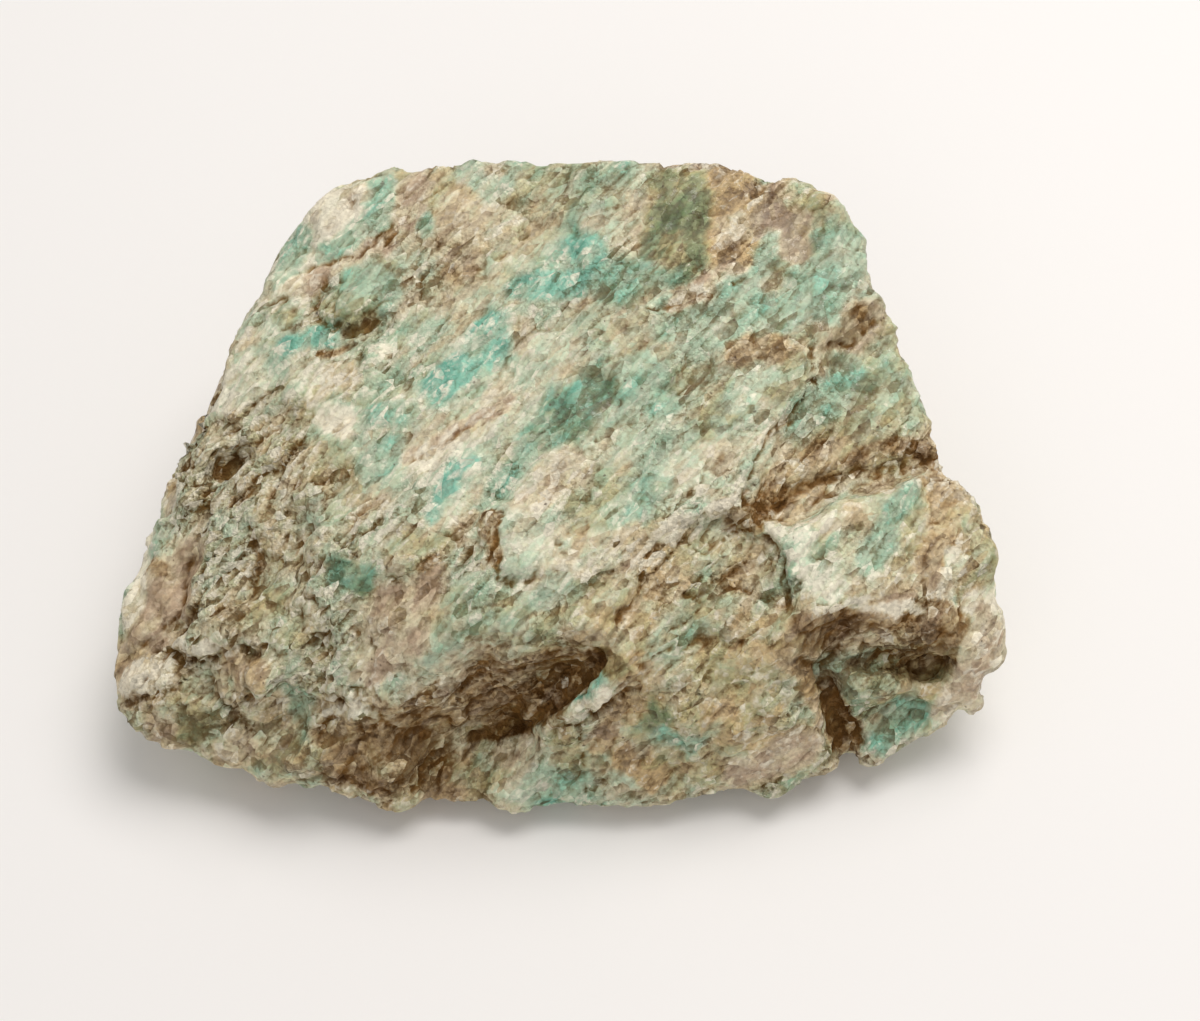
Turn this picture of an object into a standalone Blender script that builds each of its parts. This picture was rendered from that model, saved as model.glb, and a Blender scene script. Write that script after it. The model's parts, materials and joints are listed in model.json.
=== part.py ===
"""Rough amazonite: one broken block of green feldspar with quartz, resting on a small flat spot.

The block starts as the convex hull of its corners. Pieces are then taken off and added, each one
the convex hull of a few named points, the way blocks split out of such a stone. Cracks, knobs,
pits and small cleavage faces follow. +X is to the right, +Y is away from the viewer and +Z is up.
The origin is on the surface that the stone stands on, under the middle of its box.
"""

import math

import bmesh
import bpy
import numpy as np
from mathutils import Vector, kdtree, noise

MM = 0.001

# Corners of the block in millimetres, by the edge that they lie on
BACK_EDGE = [
    (-35.8, 50.6, 44.6), (-26, 54.8, 48), (-14, 54, 49.1), (3, 49, 49.3), (18, 50.2, 51.6), (36, 46.3, 49.2),
    (49, 46, 47.8), (54.6, 41, 46.4),
]
LEFT_EDGE = [
    (-42.6, 44.6, 43.4), (-45.2, 39, 42), (-53.6, 22, 38), (-58, 9, 34.5), (-65.6, -4, 28),
    (-72.2, -17, 22), (-75.8, -28, 17),
]
RIGHT_EDGE = [(56, 31, 42), (57, 22, 40.5), (60.4, 9, 37), (65, -2, 33.5), (70.8, -11, 31), (75.4, -21, 28)]
RIGHT_CORNER = [(76, -27, 24), (73, -35.5, 17), (70.4, -41, 10), (66.2, -45.2, 7.6)]
LOWER_FRONT_EDGE = [
    (-75, -35.8, 13.8), (-61, -40.8, 10), (-51, -41.4, 10.4), (-40, -48.4, 7.2), (-28, -50.6, 5.4),
    (-14, -49.6, 6), (3, -48.4, 7.2), (14, -48.8, 6.8), (22, -51.6, 5.4), (30, -52.9, 4.2), (44, -47.9, 5),
    (56, -42.6, 6.6),
]
TOP_BREAK = [(-38, -14, 36), (-9, -26, 38), (9, -24, 38.5), (18, -20, 39), (38, -4, 40.5), (52, 12, 41)]
FRONT_SHOULDER = [
    (-56, -23, 28.5), (-34, -36, 26.5), (-20, -35, 33), (-6, -34, 35), (8, -35.5, 34.5),
    (24, -36, 33), (38, -34, 33), (53, -32, 32.5), (72, -27, 26),
]
HIDDEN_SIDES = [
    (-56, 34, 22), (-36, 55, 26), (0, 57, 24), (36, 53, 24), (56, 40, 20), (66, 14, 15),
    (-66, 10, 17), (70, -18, 12), (-66, -24, 9),
]
UNDERSIDE = [
    (-62, -28, 4), (-50, -37, 3.5), (-58, 4, 7), (-50, 26, 8), (-30, 45, 9), (0, 49, 10), (30, 45, 9),
    (51, 30, 8), (59, 4, 7), (62, -18, 5.5), (55, -32, 3.5), (-22, -43, 2.8), (18, -44, 2.2), (38, -40, 2.4),
    (-40, -12, 2.6), (-38, 16, 3.4), (0, 34, 4), (36, 22, 3.6), (44, -12, 2.4),
]
FOOT_OUTLINE = [(-22, -15), (-8, -24), (14, -22), (27, -14), (24, 6), (11, 19), (-9, 16), (-21, 5)]

# Pieces that broke out, each one the hull of its points
BROKEN_OUT = {
    "front_hollow": [
        (12, -36, 30.5), (5, -36.5, 27), (-3.2, -38, 15.4), (-9.1, -38, 9.4), (-14.5, -39, 8.3),
        (-20, -42, 6.4), (11, -35.5, 34.5), (2.4, -35.2, 34.8), (-5, -35, 34.6), (-12.7, -35, 33.8),
        (-17.4, -35.2, 33), (-28.1, -40.2, 22.5), (15, -41, 33), (8, -44, 27), (1, -46.5, 18.5),
        (-6, -50, 10.5), (-14, -53, 5.5), (-22, -53, 5), (-30, -50, 10), (-10, -56, 34),
    ],
    "right_hollow": [
        (38.9, -35.5, 30.3), (46.8, -34.3, 30), (53.6, -34.2, 28), (61.1, -34, 25.2), (67.7, -34.5, 21),
        (47.5, -33, 17), (54.7, -32.8, 14), (62.7, -33, 13), (66.4, -35.2, 14.5),
        (46, -42, 22), (55, -42, 19), (64, -41, 16.5), (52, -42, 32), (60, -42, 28), (38, -40, 33),
    ],
    "right_scoop": [
        (48, -38.5, 16), (56, -36.5, 13.5), (61, -36.5, 13), (51, -41, 8), (57, -39.5, 8), (60.6, -38.4, 11),
        (48, -44, 20), (56, -44, 18), (61, -43, 17), (51, -47, 9), (56.5, -46, 8.4), (60, -43, 12),
    ],
    "front_cleft": [
        (43, -33, 22), (44.2, -33.5, 13.5), (46.3, -36.5, 8), (49, -42, 5), (50.5, -47, 4.5),
        (39.5, -41.5, 28), (41.5, -45, 20), (43, -47.5, 14), (46, -51, 7),
        (48, -42, 25), (50, -45, 19), (52, -47, 14), (53.5, -49.5, 8),
    ],
    "middle_terrace": [
        (17.5, -21.3, 36.4), (31.7, -16.1, 35.6), (34.3, -18.1, 34.7), (36, -21.6, 33.7),
        (37.8, -25.3, 32.7), (38.5, -33.4, 30.6), (33.4, -36.5, 29), (22.1, -37.5, 29.8),
        (10.9, -37, 31.8), (10, -30.5, 34.8), (17, -21, 50), (32, -16, 50), (39, -36, 50), (10, -37, 50),
    ],
    "right_terrace": [
        (58.8, 23.5, 39), (46.4, 8.6, 38.4), (38.6, -3.5, 37.4), (32.6, -15.6, 35.8), (34.3, -18.1, 35.2),
        (47.2, -10.8, 34.7), (56.5, -7.1, 33.8), (69, -8, 31), (69, -2.1, 33), (65, 8.5, 36.3),
        (62, 19.6, 38.6), (58.5, 24, 60), (46, 9, 60), (38, -3, 60), (32, -16, 60), (70, -8, 60),
        (70, 10, 60),
    ],
    "back_slab": [(-60, 40, 20), (-20, 51, 36), (-24, 49, 10), (-50, 70, 20), (-20, 70, 36), (-56, 42, 5)],
    "back_notch": [(20, 52, 33), (60, 33, 30), (40, 42, 12), (58, 60, 30), (20, 70, 40), (30, 70, 0)],
    "right_bay": [
        (60.2, 21, 60), (61.4, 10, 60), (63, 2, 60), (65.6, -5, 60), (70.5, -12, 60), (61.6, 21, 22),
        (63, 10, 22), (64.6, 2, 22), (67.2, -5, 22), (72, -12, 22),
        (84, 20, 60), (88, -12, 60), (84, 20, 22), (88, -12, 22),
    ],
    "right_notch": [
        (56.6, 31, 60), (58, 21, 60), (64, 17, 60), (66, 31, 60),
        (58.6, 31, 24), (60, 21, 24), (66, 17, 24), (70, 31, 24),
    ],
    "right_under": [(60, 20, 12), (60, -20, 6), (78, 0, 26), (80, -10, 0), (76, 24, 0), (56, 0, -4)],
}

# Sheets that stand proud, each one the hull of its points
STANDING_PROUD = {
    "flake": [
        (-8.8, -26.8, 40.9), (-1.5, -27.2, 40.7), (2, -24, 40.2), (4, -12, 40.9), (-3, -11, 41.4),
        (-8.8, -17, 42), (-8.4, -26.5, 36), (1.5, -26, 36), (3, -12, 38), (-7, -12, 38),
    ],
    "ridge": [
        (12, -37.5, 32.5), (7, -40.5, 30), (0, -43, 24), (-3.6, -45.5, 19), (3.4, -46.6, 18.6),
        (9.8, -43.6, 25.6), (13.6, -40, 30.5), (8, -36, 24), (2, -38, 16), (-2, -39, 16),
    ],
}

# Furrows: the route, then how wide and how deep
FURROWS = [
    ([(70, -5, 31), (58, -8, 34.5), (48, -11, 36), (34, -19, 36)], 4.5, 2.8),
    ([(34, -19, 36), (37.5, -28, 34), (39, -35, 31)], 2.4, 1.6),
    ([(26, -38, 31), (24, -42, 22), (27, -48, 11)], 3.0, 1.5),
    ([(-48, 33, 42), (-38, 29, 43), (-27, 31, 43.5), (-20, 36, 45)], 3.0, 1.6),
    ([(-38, 25, 42), (-30, 22, 42), (-22, 26, 43)], 2.6, 1.3),
    ([(-65, -11, 27), (-62, -20, 25.5), (-61, -27, 23.5), (-67, -32, 17)], 2.2, 1.3),
    ([(-60, 0, 31), (-53, 3, 34), (-46, 4, 36)], 2.4, 1.6),
    ([(-25, -7, 40), (-8, 8, 42.5), (6, 20, 45)], 2.6, 0.8),
    ([(-4, -33, 35.5), (9, -28, 37), (17.5, -21, 37)], 2.6, 1.6),
    ([(13, -39, 29), (9, -44, 22), (3, -48, 12)], 2.6, 1.8),
    ([(14, -40, 28), (24, -37, 31), (36, -37, 29)], 2.8, 1.8),
    ([(-28, -38, 24), (-34, -44, 14), (-36, -49, 8)], 2.6, 1.6),
    ([(-58, -26, 26), (-50, -31, 25), (-42, -36, 23), (-36, -42, 16)], 2.6, 1.6),
]

# Knobs and pits: middle, size along and across, height, turn in plan
KNOBS = [
    ((-36, 46, 45), (10, 8), 2.2, 0.9),
    ((-31, 29, 43), (8, 6), 1.5, 0.5),
    ((50, 38, 46), (8, 7), 1.6, 0.6),
    ((22, -43, 20), (9, 8), 3.4, 0.0),
    ((34, -43, 18), (6, 8), 2.6, 0.0),
    ((-46, -43, 14), (9, 5), 2.0, -0.2),
    ((52, -39.5, 15), (8, 6), 1.5, 0.0),
    ((-47, -33, 22.5), (5, 4.5), 2.6, 0.0),
    ((-62, -33, 18), (6, 3.5), 2.0, 0.0),
    ((-24, -30, 33), (6, 4), 1.8, 0.5),
    ((-30, -12, 38), (6, 4), -1.2, 0.7),
    ((10, -30, 36), (5, 4), 1.4, 0.3),
    ((-52.7, 1, 34.5), (4, 3), -2.6, 0.4),
    ((-52, -6, 33.5), (3.5, 2.6), -2.4, 0.4),
    ((-44, -12, 34), (5, 3), -1.8, 0.8),
    ((-33, -38, 23), (7, 5), 1.6, 0.3),
]

STONE_COLOUR = (0.36, 0.345, 0.245, 1)

# How the borders of furrows and knobs wander, and the share of a furrow's length where its ends get shallow
FURROW_WANDER = {"size": 6, "reach": 1.5, "seed": 40}
KNOB_WANDER = {"size": 7, "reach": 1.5, "seed": 50}
FURROW_ENDS = 0.15
FURROW_END_DEPTH = 0.2

# How the skin is made: grids in millimetres, then waves as their size and their height
SKIN_GRID = 1.25
SKIN_ROUNDS = 2
FINE_SKIN_GRID = 0.85
BROAD_WAVES = (20, 0.9)
SMALL_WAVES = (8, 0.35)
CRUMBLED_WAVES = 0.6

# Where the stone crumbled: the middle and the reach; and how much rougher it is there and on steep sides
CRUMBLED_MIDDLE = (-48, -22, 28)
CRUMBLED_REACH = 42
CRUMBLED_GAIN = 1.1
STEEP_GAIN = 0.6
PLAIN_SHARE = 0.75

# Towards the foot the skin gets calmer below this height, down to this share
CALM_BELOW = 3
CALM_SHARE = 0.2

FOOT_CUT = 1.1
BOX_MIDDLE = (0.494, 2.885, 0)
MOST_TRIANGLES = 9700

# The cleavage: its direction in plan, its small faces and how their borders wander, and how far
# from the middle of the stone they are made
CLEAVAGE_TURN = math.radians(42)
CLEAVAGE_FACES = {"spacing": 9.0, "stretch": 1.7, "offset": 1.2, "tilt": 0.1, "seed": 3}
FACE_WANDER_SIZE = 0.7
FACE_WANDER_REACH = 0.35
FACES_REACH = 90


def fade(distance, width):
    """1 at no distance, falling smoothly to 0 at the width."""
    t = np.clip(1 - distance / width, 0, 1)
    return t * t * (3 - 2 * t)


def plan_frame(turn):
    """Unit vectors along and across a direction in plan."""
    along = np.array([math.cos(turn), math.sin(turn), 0.0])
    across = np.array([-math.sin(turn), math.cos(turn), 0.0])
    return along, across


def distance_to_route(points, route):
    """How far each point is from a line of straight stretches, and how far along it, from 0 to 1."""
    best = np.full(len(points), np.inf)
    share = np.zeros(len(points))
    route = np.asarray(route, float)
    lengths = np.linalg.norm(np.diff(route, axis=0), axis=1)
    starts = np.concatenate([[0], np.cumsum(lengths)])
    for start, end, length, before in zip(route[:-1], route[1:], lengths, starts):
        step = (end - start) / length
        t = np.clip((points - start) @ step, 0, length)
        distance = np.linalg.norm(points - start - t[:, None] * step, axis=1)
        nearer = distance < best
        best[nearer] = distance[nearer]
        share[nearer] = (before + t[nearer]) / starts[-1]
    return best, share


def noise_at(points, size, seed):
    """Gradient noise of one size, from about -1 to 1."""
    shift = Vector((seed * 17.3, seed * 5.1, seed * 9.7))
    return np.array([noise.noise(Vector(p) / size + shift) for p in points])


def wandered(points, size, reach, seed):
    """The points moved about a little, so that what is looked up at them gets uneven borders."""
    moves = [noise_at(points, size, seed + axis) for axis in range(3)]
    return points + reach * np.column_stack(moves)


def furrow(points, normals, route, width, depth):
    """A V-shaped furrow along a route, shallower at its ends."""
    distance, share = distance_to_route(wandered(points, **FURROW_WANDER), route)
    ends = np.clip(np.minimum(share, 1 - share) / FURROW_ENDS, FURROW_END_DEPTH, 1)
    cut = depth * np.clip(1 - distance / width, 0, 1) * ends
    return points - cut[:, None] * normals


def knob(points, normals, centre, radii, height, turn):
    """A low rounded knob, or a pit where the height is negative."""
    along, across = plan_frame(turn)
    q = wandered(points, **KNOB_WANDER) - np.asarray(centre, float)
    r = np.sqrt((q @ along / radii[0]) ** 2 + (q @ across / radii[1]) ** 2 + (q[:, 2] / max(radii)) ** 2)
    return points + (height * fade(r, 1.0))[:, None] * normals


def cleavage_faces(points, normals, strength, spacing, stretch, offset, tilt, seed):
    """Small flat faces, each with its own level and tilt, longer along the cleavage."""
    along, across = plan_frame(CLEAVAGE_TURN)
    draw = np.random.default_rng(seed)
    to_cell = np.array([along / stretch, across, [0, 0, 1]])
    cells = wandered(points, spacing * FACE_WANDER_SIZE, spacing * FACE_WANDER_REACH, seed) @ to_cell.T
    steps = np.arange(-FACES_REACH, FACES_REACH, spacing)
    seeds = np.stack(np.meshgrid(steps, steps, steps, indexing="ij"), axis=-1).reshape(-1, 3)
    seeds = seeds + draw.uniform(-0.5, 0.5, seeds.shape) * spacing
    levels = draw.uniform(-1, 1, len(seeds)) ** 3 * offset
    tilts = draw.normal(0, tilt, seeds.shape)
    tree = kdtree.KDTree(len(seeds))
    for index, middle in enumerate(seeds):
        tree.insert(middle, index)
    tree.balance()
    nearest = np.array([tree.find(cell)[1] for cell in cells])
    height = levels[nearest] + ((cells - seeds[nearest]) * tilts[nearest]).sum(axis=1)
    return points + (height * strength)[:, None] * normals


def hull_of(name, corners):
    """A closed mesh object: the convex hull of the corners."""
    bm = bmesh.new()
    for corner in corners:
        bm.verts.new(Vector(corner) * MM)
    bmesh.ops.convex_hull(bm, input=bm.verts)
    bmesh.ops.delete(bm, geom=[v for v in bm.verts if not v.link_faces], context="VERTS")
    bmesh.ops.recalc_face_normals(bm, faces=bm.faces)
    mesh = bpy.data.meshes.new(name)
    bm.to_mesh(mesh)
    bm.free()
    obj = bpy.data.objects.new(name, mesh)
    bpy.context.scene.collection.objects.link(obj)
    return obj


def apply_modifiers(obj):
    graph = bpy.context.evaluated_depsgraph_get()
    finished = bpy.data.meshes.new_from_object(obj.evaluated_get(graph))
    obj.modifiers.clear()
    obj.data = finished


def combine(stone, name, corners, operation):
    """Takes the hull of the corners off the stone, or joins it on."""
    piece = hull_of(name, corners)
    step = stone.modifiers.new(name, "BOOLEAN")
    step.operation = operation
    step.solver = "EXACT"
    step.object = piece
    apply_modifiers(stone)
    bpy.data.objects.remove(piece)


def whole_block():
    """The block with its large breaks, before the skin is made."""
    corners = BACK_EDGE + LEFT_EDGE + RIGHT_EDGE + RIGHT_CORNER + LOWER_FRONT_EDGE
    corners = corners + TOP_BREAK + FRONT_SHOULDER + HIDDEN_SIDES + UNDERSIDE
    corners = corners + [(x, y, -FOOT_CUT) for x, y in FOOT_OUTLINE]
    stone = hull_of("amazonite", corners)
    for name, points in BROKEN_OUT.items():
        combine(stone, name, points, "DIFFERENCE")
    for name, points in STANDING_PROUD.items():
        combine(stone, name, points, "UNION")
    return stone


def even_skin(obj, grid, rounds):
    """The same shape under an even grid of small faces, smoothed a few times to break its edges."""
    remesh = obj.modifiers.new("even_skin", "REMESH")
    remesh.mode = "VOXEL"
    remesh.voxel_size = grid * MM
    apply_modifiers(obj)
    bm = bmesh.new()
    bm.from_mesh(obj.data)
    for _ in range(rounds):
        bmesh.ops.smooth_vert(bm, verts=bm.verts, factor=0.5,
                              use_axis_x=True, use_axis_y=True, use_axis_z=True)
    bm.to_mesh(obj.data)
    bm.free()


def read_points(mesh):
    points = np.empty(len(mesh.vertices) * 3)
    mesh.vertices.foreach_get("co", points)
    return points.reshape(-1, 3) / MM


def write_points(mesh, points):
    mesh.vertices.foreach_set("co", (points * MM).ravel())
    mesh.update()


def read_normals(mesh):
    return np.array([normal.vector[:] for normal in mesh.vertex_normals])


def add_features(mesh):
    """The furrows, knobs and pits."""
    points = read_points(mesh)
    normals = read_normals(mesh)
    for route, width, depth in FURROWS:
        points = furrow(points, normals, route, width, depth)
    for centre, radii, height, turn in KNOBS:
        points = knob(points, normals, centre, radii, height, turn)
    write_points(mesh, points)


def roughen(mesh):
    """The small cleavage faces and the unevenness, stronger where the stone crumbled."""
    points = read_points(mesh)
    normals = read_normals(mesh)
    calm = np.clip(points[:, 2] / CALM_BELOW, CALM_SHARE, 1)
    crumbled = fade(np.linalg.norm(points - CRUMBLED_MIDDLE, axis=1), CRUMBLED_REACH)
    steepness = 1 - np.clip(normals[:, 2], 0, 1)
    strength = calm * (PLAIN_SHARE + CRUMBLED_GAIN * crumbled + STEEP_GAIN * steepness)
    points = cleavage_faces(points, normals, strength, **CLEAVAGE_FACES)
    uneven = BROAD_WAVES[1] * noise_at(points, BROAD_WAVES[0], 1)
    uneven += (SMALL_WAVES[1] + CRUMBLED_WAVES * crumbled) * noise_at(points, SMALL_WAVES[0], 2)
    points = points + (uneven * calm)[:, None] * normals
    write_points(mesh, points)


def thin_out(obj):
    """Fewer triangles: few on the flat faces, more along the breaks."""
    obj.data.calc_loop_triangles()
    decimate = obj.modifiers.new("fewer", "DECIMATE")
    decimate.ratio = MOST_TRIANGLES / len(obj.data.loop_triangles)
    decimate.use_collapse_triangulate = True
    apply_modifiers(obj)


def cut_foot(obj):
    """The flat spot that it rests on, cut at z = 0, and the box's middle brought over the origin."""
    bm = bmesh.new()
    bm.from_mesh(obj.data)
    everything = bm.verts[:] + bm.edges[:] + bm.faces[:]
    cut = bmesh.ops.bisect_plane(
        bm, geom=everything, dist=1e-6, plane_co=(0, 0, 0), plane_no=(0, 0, 1), clear_inner=True
    )
    rim = [e for e in cut["geom_cut"] if isinstance(e, bmesh.types.BMEdge)]
    bmesh.ops.contextual_create(bm, geom=rim)
    bmesh.ops.triangulate(bm, faces=bm.faces)
    bmesh.ops.translate(bm, vec=-Vector(BOX_MIDDLE) * MM, verts=bm.verts)
    bmesh.ops.recalc_face_normals(bm, faces=bm.faces)
    bm.to_mesh(obj.data)
    bm.free()


def stone_material():
    """The colour of the whole stone, between its green, its cream and its brown."""
    material = bpy.data.materials.new("amazonite")
    material.use_nodes = True
    surface = material.node_tree.nodes["Principled BSDF"]
    surface.inputs["Base Color"].default_value = STONE_COLOUR
    surface.inputs["Roughness"].default_value = 0.6
    surface.inputs["Metallic"].default_value = 0.0
    return material


def main():
    for old in list(bpy.data.objects):
        bpy.data.objects.remove(old)
    stone = whole_block()
    even_skin(stone, SKIN_GRID, SKIN_ROUNDS)
    add_features(stone.data)
    roughen(stone.data)
    even_skin(stone, FINE_SKIN_GRID, 0)
    thin_out(stone)
    cut_foot(stone)
    stone.data.materials.clear()
    stone.data.materials.append(stone_material())


main()
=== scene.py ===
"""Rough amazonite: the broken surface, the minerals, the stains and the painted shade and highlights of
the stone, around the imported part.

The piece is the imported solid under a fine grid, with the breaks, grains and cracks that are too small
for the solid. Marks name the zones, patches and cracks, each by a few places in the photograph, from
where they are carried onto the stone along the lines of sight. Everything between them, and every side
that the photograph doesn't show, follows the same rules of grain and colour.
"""

import itertools
import json
import math

import bmesh
import bpy
import numpy as np
from bpy.props import FloatProperty, FloatVectorProperty, IntProperty, PointerProperty
from mathutils import Matrix, Vector, bvhtree

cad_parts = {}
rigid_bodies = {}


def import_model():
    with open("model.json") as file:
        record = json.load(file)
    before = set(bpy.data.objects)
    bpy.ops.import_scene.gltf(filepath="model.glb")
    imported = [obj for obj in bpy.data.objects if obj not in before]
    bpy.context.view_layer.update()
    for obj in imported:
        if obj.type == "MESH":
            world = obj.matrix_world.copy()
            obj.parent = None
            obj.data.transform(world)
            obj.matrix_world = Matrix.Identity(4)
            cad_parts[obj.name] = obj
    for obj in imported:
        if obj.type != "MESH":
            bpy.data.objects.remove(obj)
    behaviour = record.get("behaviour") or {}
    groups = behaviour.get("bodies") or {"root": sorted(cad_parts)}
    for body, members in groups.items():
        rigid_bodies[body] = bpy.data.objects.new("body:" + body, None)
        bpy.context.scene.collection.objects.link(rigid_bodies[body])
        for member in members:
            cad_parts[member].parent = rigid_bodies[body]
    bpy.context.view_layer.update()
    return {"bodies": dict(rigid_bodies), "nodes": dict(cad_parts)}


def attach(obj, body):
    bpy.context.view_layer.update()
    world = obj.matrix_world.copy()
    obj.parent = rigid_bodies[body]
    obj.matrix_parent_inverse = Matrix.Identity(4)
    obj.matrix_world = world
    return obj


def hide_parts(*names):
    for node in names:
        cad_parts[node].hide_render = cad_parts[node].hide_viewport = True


bl_info = {
    "name": "Rough amazonite",
    "version": (1, 0, 0),
    "blender": (4, 5, 0),
    "location": "3D View > Sidebar > Amazonite",
    "description": "Makes the broken, many-coloured surface of a rough block of amazonite",
    "category": "Object",
}

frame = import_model()
STONE_BODY = next(iter(frame["bodies"]))

MM = 0.001
MERGE_DISTANCE = 1e-6
SHORTEST_STEP = 1e-9

# The photograph: its size in pixels, and where its camera stood
PHOTO_WIDTH = 1200
PHOTO_HEIGHT = 1021
SENSOR_WIDTH = 36.0
CAMERA_LENS = 63.0
CAMERA_PLACE = (0.008506, -0.203885, 0.325)
CAMERA_PITCH = math.radians(57)
CAMERA_ROLL = math.radians(-3.5)
CAMERA_NEAR = 0.01

# The stone's middle in the photograph, and the steps towards it from a mark that is off the edge
MIDDLE_OF_STONE = (560, 480)
EDGE_STEP = 0.01
EDGE_STEPS = 10

# The lamination of the mineral: its direction in plan and its rise
LAMINATION_TURN = math.radians(46)
LAMINATION_RISE = math.radians(12)

# What each kind of mark makes of the stone's fields, from 0 to 1 and in this order:
# green, warm (cool to warm hue), light (dark to light, with painted shade and light), dirt with painted
# shade, smooth, crumbled
KINDS = {
    "turquoise": (0.9, 0.08, 0.62, 0, 0.3, 0),
    "teal": (0.68, 0.24, 0.5, 0, 0.2, 0),
    "deep teal": (0.84, 0.5, 0.22, 0, 0.3, 0),
    "sea green": (0.76, 0.32, 0.4, 0, 0.2, 0),
    "mint": (0.52, 0.18, 0.68, 0, 0.2, 0),
    "pale": (0.46, 0.2, 0.92, 0, 0.2, 0),
    # shaded moss: a dark green-brown that paints shade on green stone
    "shaded moss": (0.62, 0.8, 0.1, 0.4, 0.1, 0.1),
    "straw": (0.42, 0.66, 0.52, 0.06, 0.1, 0),
    "grey green": (0.56, 0.6, 0.42, 0.06, 0.2, 0.1),
    "olive": (0.8, 1, 0.46, 0, 0.3, 0),
    "cream": (0.25, 0.4, 0.76, 0, 0.2, 0),
    "white": (0.26, 0.24, 1.1, 0, 0.2, 0),
    "pink": (0.04, 0.1, 0.58, 0, 0.5, 0),
    "quartz": (0.08, 0.3, 0.28, 0.06, 1, 0),
    "ochre": (0.14, 0.98, 0.55, 0.06, 0.2, 0),
    # shaded dull: a darker, duller middle tone that paints shade
    "shaded dull": (0.44, 0.52, 0.3, 0.14, 0.1, 0),
    "tan": (0.16, 0.62, 0.44, 0.22, 0.1, 0.1),
    # brown: brown staining, also laid as painted shade in hollows and under ledges
    "brown": (0.14, 0.62, 0.34, 0.56, 0, 0.3),
    "crumbled": (0.38, 0.46, 0.6, 0.06, 0, 1),
    # dark: painted shade in creases and clefts, and dark rust
    "dark": (0.3, 0.6, 0, 0.78, 0, 0.2),
}

# Each field before any mark: its middle value, its waves' strength, their length in millimetres,
# first seed and number of sizes, and whether they are drawn out along the lamination
PLAIN_FIELDS = {
    "green": (0.38, 0.34, (15, 20, 3), True),
    "warm": (0.4, 0.36, (26, 40, 3), False),
    "light": (0.52, 0.22, (9, 50, 3), True),
    "dirt_and_shade": (0.06, 0.42, (20, 60, 3), False),
    "smooth": (0, 1, (12, 70, 2), True),
    "crumbled": (0, 1, (26, 80, 2), False),
}
FIELD_STRETCH = 2.2
SMALL_WAVES = (6, 30, 3)
SMALL_GREEN = 0.34
MOST_DIRT = 0.45
SMOOTH_RANGE = (0.35, 0.6)
CRUMBLED_RANGE = (0.05, 0.4)
MOST_CRUMBLED = 0.8

# Marks: where they are full, from 0 at the reach to 1 on the route, and how much a patch is widened,
# is moved by the small waves, and covers what is under it
ZONE_FULL = 0.7
PATCH_FULL = 0.5
PATCH_WIDENING = 1.3
PATCH_WAVES = 0.25
PATCH_COVER = 0.85

# Broad zones: kind, reach in millimetres, how much they cover, places in the photograph
ZONES = {
    "pale top": ("mint", 30, 0.5, (320, 290), (450, 330), (600, 380), (720, 400), (860, 380)),
    "pale top, back": ("mint", 18, 0.4, (560, 230), (650, 260), (800, 280)),
    "pale front": ("mint", 14, 0.4, (440, 480), (560, 520), (640, 460)),
    # Painted shade on the right of the top and along the back
    "dull right": ("shaded dull", 24, 0.6, (640, 340), (720, 300), (810, 270), (840, 370)),
    "dull behind": ("shaded dull", 9, 0.45, (380, 190), (460, 200), (590, 185)),
    # Painted shade on the lower front faces
    "dull lower front": ("shaded dull", 11, 0.85, (230, 735), (300, 750), (380, 770), (470, 780)),
    "dull lower middle": ("shaded dull", 8, 0.6, (560, 770), (640, 780), (720, 780)),
    "stained left slope": ("crumbled", 17, 0.9, (215, 425), (225, 500), (235, 590), (300, 620)),
    "stained inner slope": ("crumbled", 13, 0.8, (260, 440), (320, 540), (400, 560)),
    "left corner": ("crumbled", 12, 0.8, (175, 660), (240, 690), (320, 690)),
    "back left": ("tan", 13, 0.4, (420, 200), (500, 240)),
    # Brown staining with painted shade in the front hollow
    "front hollow": ("brown", 10, 0.8, (400, 720), (470, 700), (540, 670), (590, 650)),
    "front left foot": ("brown", 10, 0.6, (360, 760), (440, 775)),
    "hollow shoulder": ("grey green", 8, 0.6, (440, 620), (540, 610), (620, 610)),
    "terrace": ("tan", 10, 0.45, (640, 600), (690, 570), (740, 560)),
    "valley": ("tan", 7, 0.7, (770, 500), (840, 455), (940, 450)),
    "upper right terrace": ("grey green", 13, 0.6, (850, 400), (890, 360), (880, 420)),
    "right block": ("grey green", 13, 0.5, (830, 550), (900, 530), (950, 540)),
    # Brown staining with painted shade in the right hollow
    "right hollow": ("brown", 9, 0.75, (820, 630), (880, 630), (940, 640), (960, 670), (900, 660)),
    "dome": ("straw", 14, 0.75, (680, 690), (700, 750), (740, 700)),
    "lower right face": ("olive", 9, 0.55, (880, 700), (920, 700)),
}

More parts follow.
